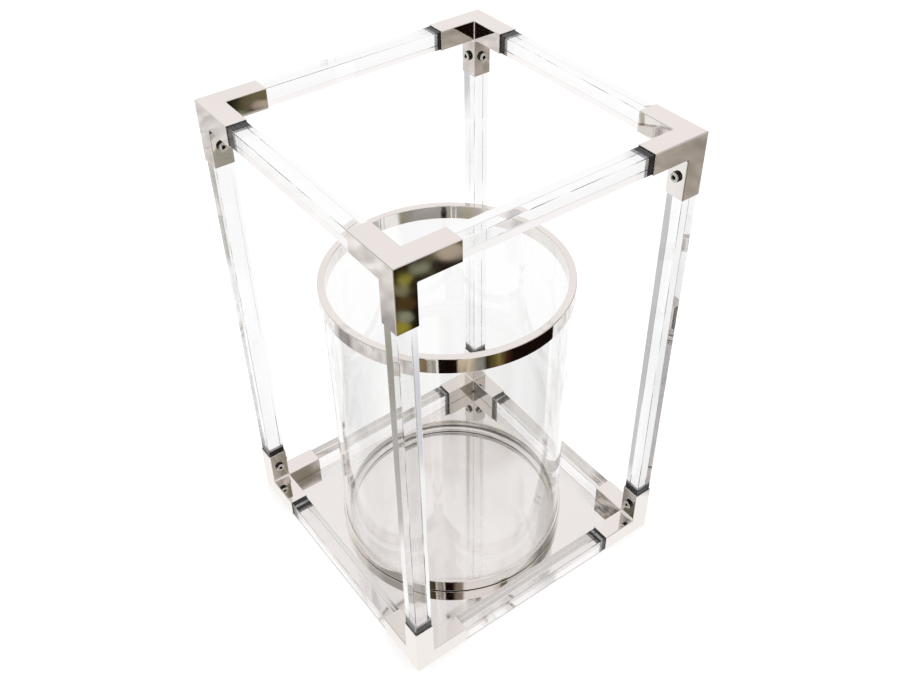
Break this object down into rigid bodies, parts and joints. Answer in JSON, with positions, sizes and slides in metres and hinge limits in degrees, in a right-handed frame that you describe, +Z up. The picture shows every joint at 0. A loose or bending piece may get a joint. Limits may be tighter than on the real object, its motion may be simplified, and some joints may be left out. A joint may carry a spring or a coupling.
{
  "type": "ice bucket",
  "caption": "Glass ice bucket with polished metal rim and foot bands, standing in an open square frame of clear rods with metal corner fittings.",
  "frame": {"origin": "on the frame's upright centre line, at the surface that the bottom corner fittings stand on", "axes": "+Z up out of the vessel's mouth, -Y the front, +X to the right"},
  "size_m": [0.274, 0.274, 0.439],
  "materials": {
    "polished_nickel": "mirror polished nickel plate, slightly warm",
    "clear_acrylic": "clear, polished on all faces",
    "clear_glass": "clear, faintly green in the thick floor",
    "mirror_plate": "mirror polished steel sheet",
    "screw_steel": "nickel plated steel, bright",
    "pad_rubber": "dull black"
  },
  "bodies": {
    "frame": {"bottom_front_left_fitting": "polished_nickel", "bottom_front_left_screw_1": "screw_steel", "bottom_front_left_screw_2": "screw_steel", "bottom_front_right_fitting": "polished_nickel", "bottom_front_right_screw_1": "screw_steel", "bottom_front_right_screw_2": "screw_steel", "bottom_back_right_fitting": "polished_nickel", "bottom_back_right_screw_1": "screw_steel", "bottom_back_right_screw_2": "screw_steel", "bottom_back_left_fitting": "polished_nickel", "bottom_back_left_screw_1": "screw_steel", "bottom_back_left_screw_2": "screw_steel", "bottom_front_rail": "clear_acrylic", "bottom_right_rail": "clear_acrylic", "bottom_back_rail": "clear_acrylic", "bottom_left_rail": "clear_acrylic", "top_front_left_fitting": "polished_nickel", "top_front_left_screw_1": "screw_steel", "top_front_left_screw_2": "screw_steel", "top_front_right_fitting": "polished_nickel", "top_front_right_screw_1": "screw_steel", "top_front_right_screw_2": "screw_steel", "top_back_right_fitting": "polished_nickel", "top_back_right_screw_1": "screw_steel", "top_back_right_screw_2": "screw_steel", "top_back_left_fitting": "polished_nickel", "top_back_left_screw_1": "screw_steel", "top_back_left_screw_2": "screw_steel", "top_front_rail": "clear_acrylic", "top_right_rail": "clear_acrylic", "top_back_rail": "clear_acrylic", "top_left_rail": "clear_acrylic", "front_left_post": "clear_acrylic", "front_right_post": "clear_acrylic", "back_right_post": "clear_acrylic", "back_left_post": "clear_acrylic", "base_plate": "mirror_plate"},
    "vessel": {"glass_vessel": "clear_glass", "rim_band": "polished_nickel", "base_band": "polished_nickel", "base_pad": "pad_rubber"}
  },
  "joints": [
    {"name": "vessel_lift", "type": "slide", "parent": "frame", "child": "vessel", "axis": [0, 0, 1], "range_m": [0, 0.45]}
  ]
}
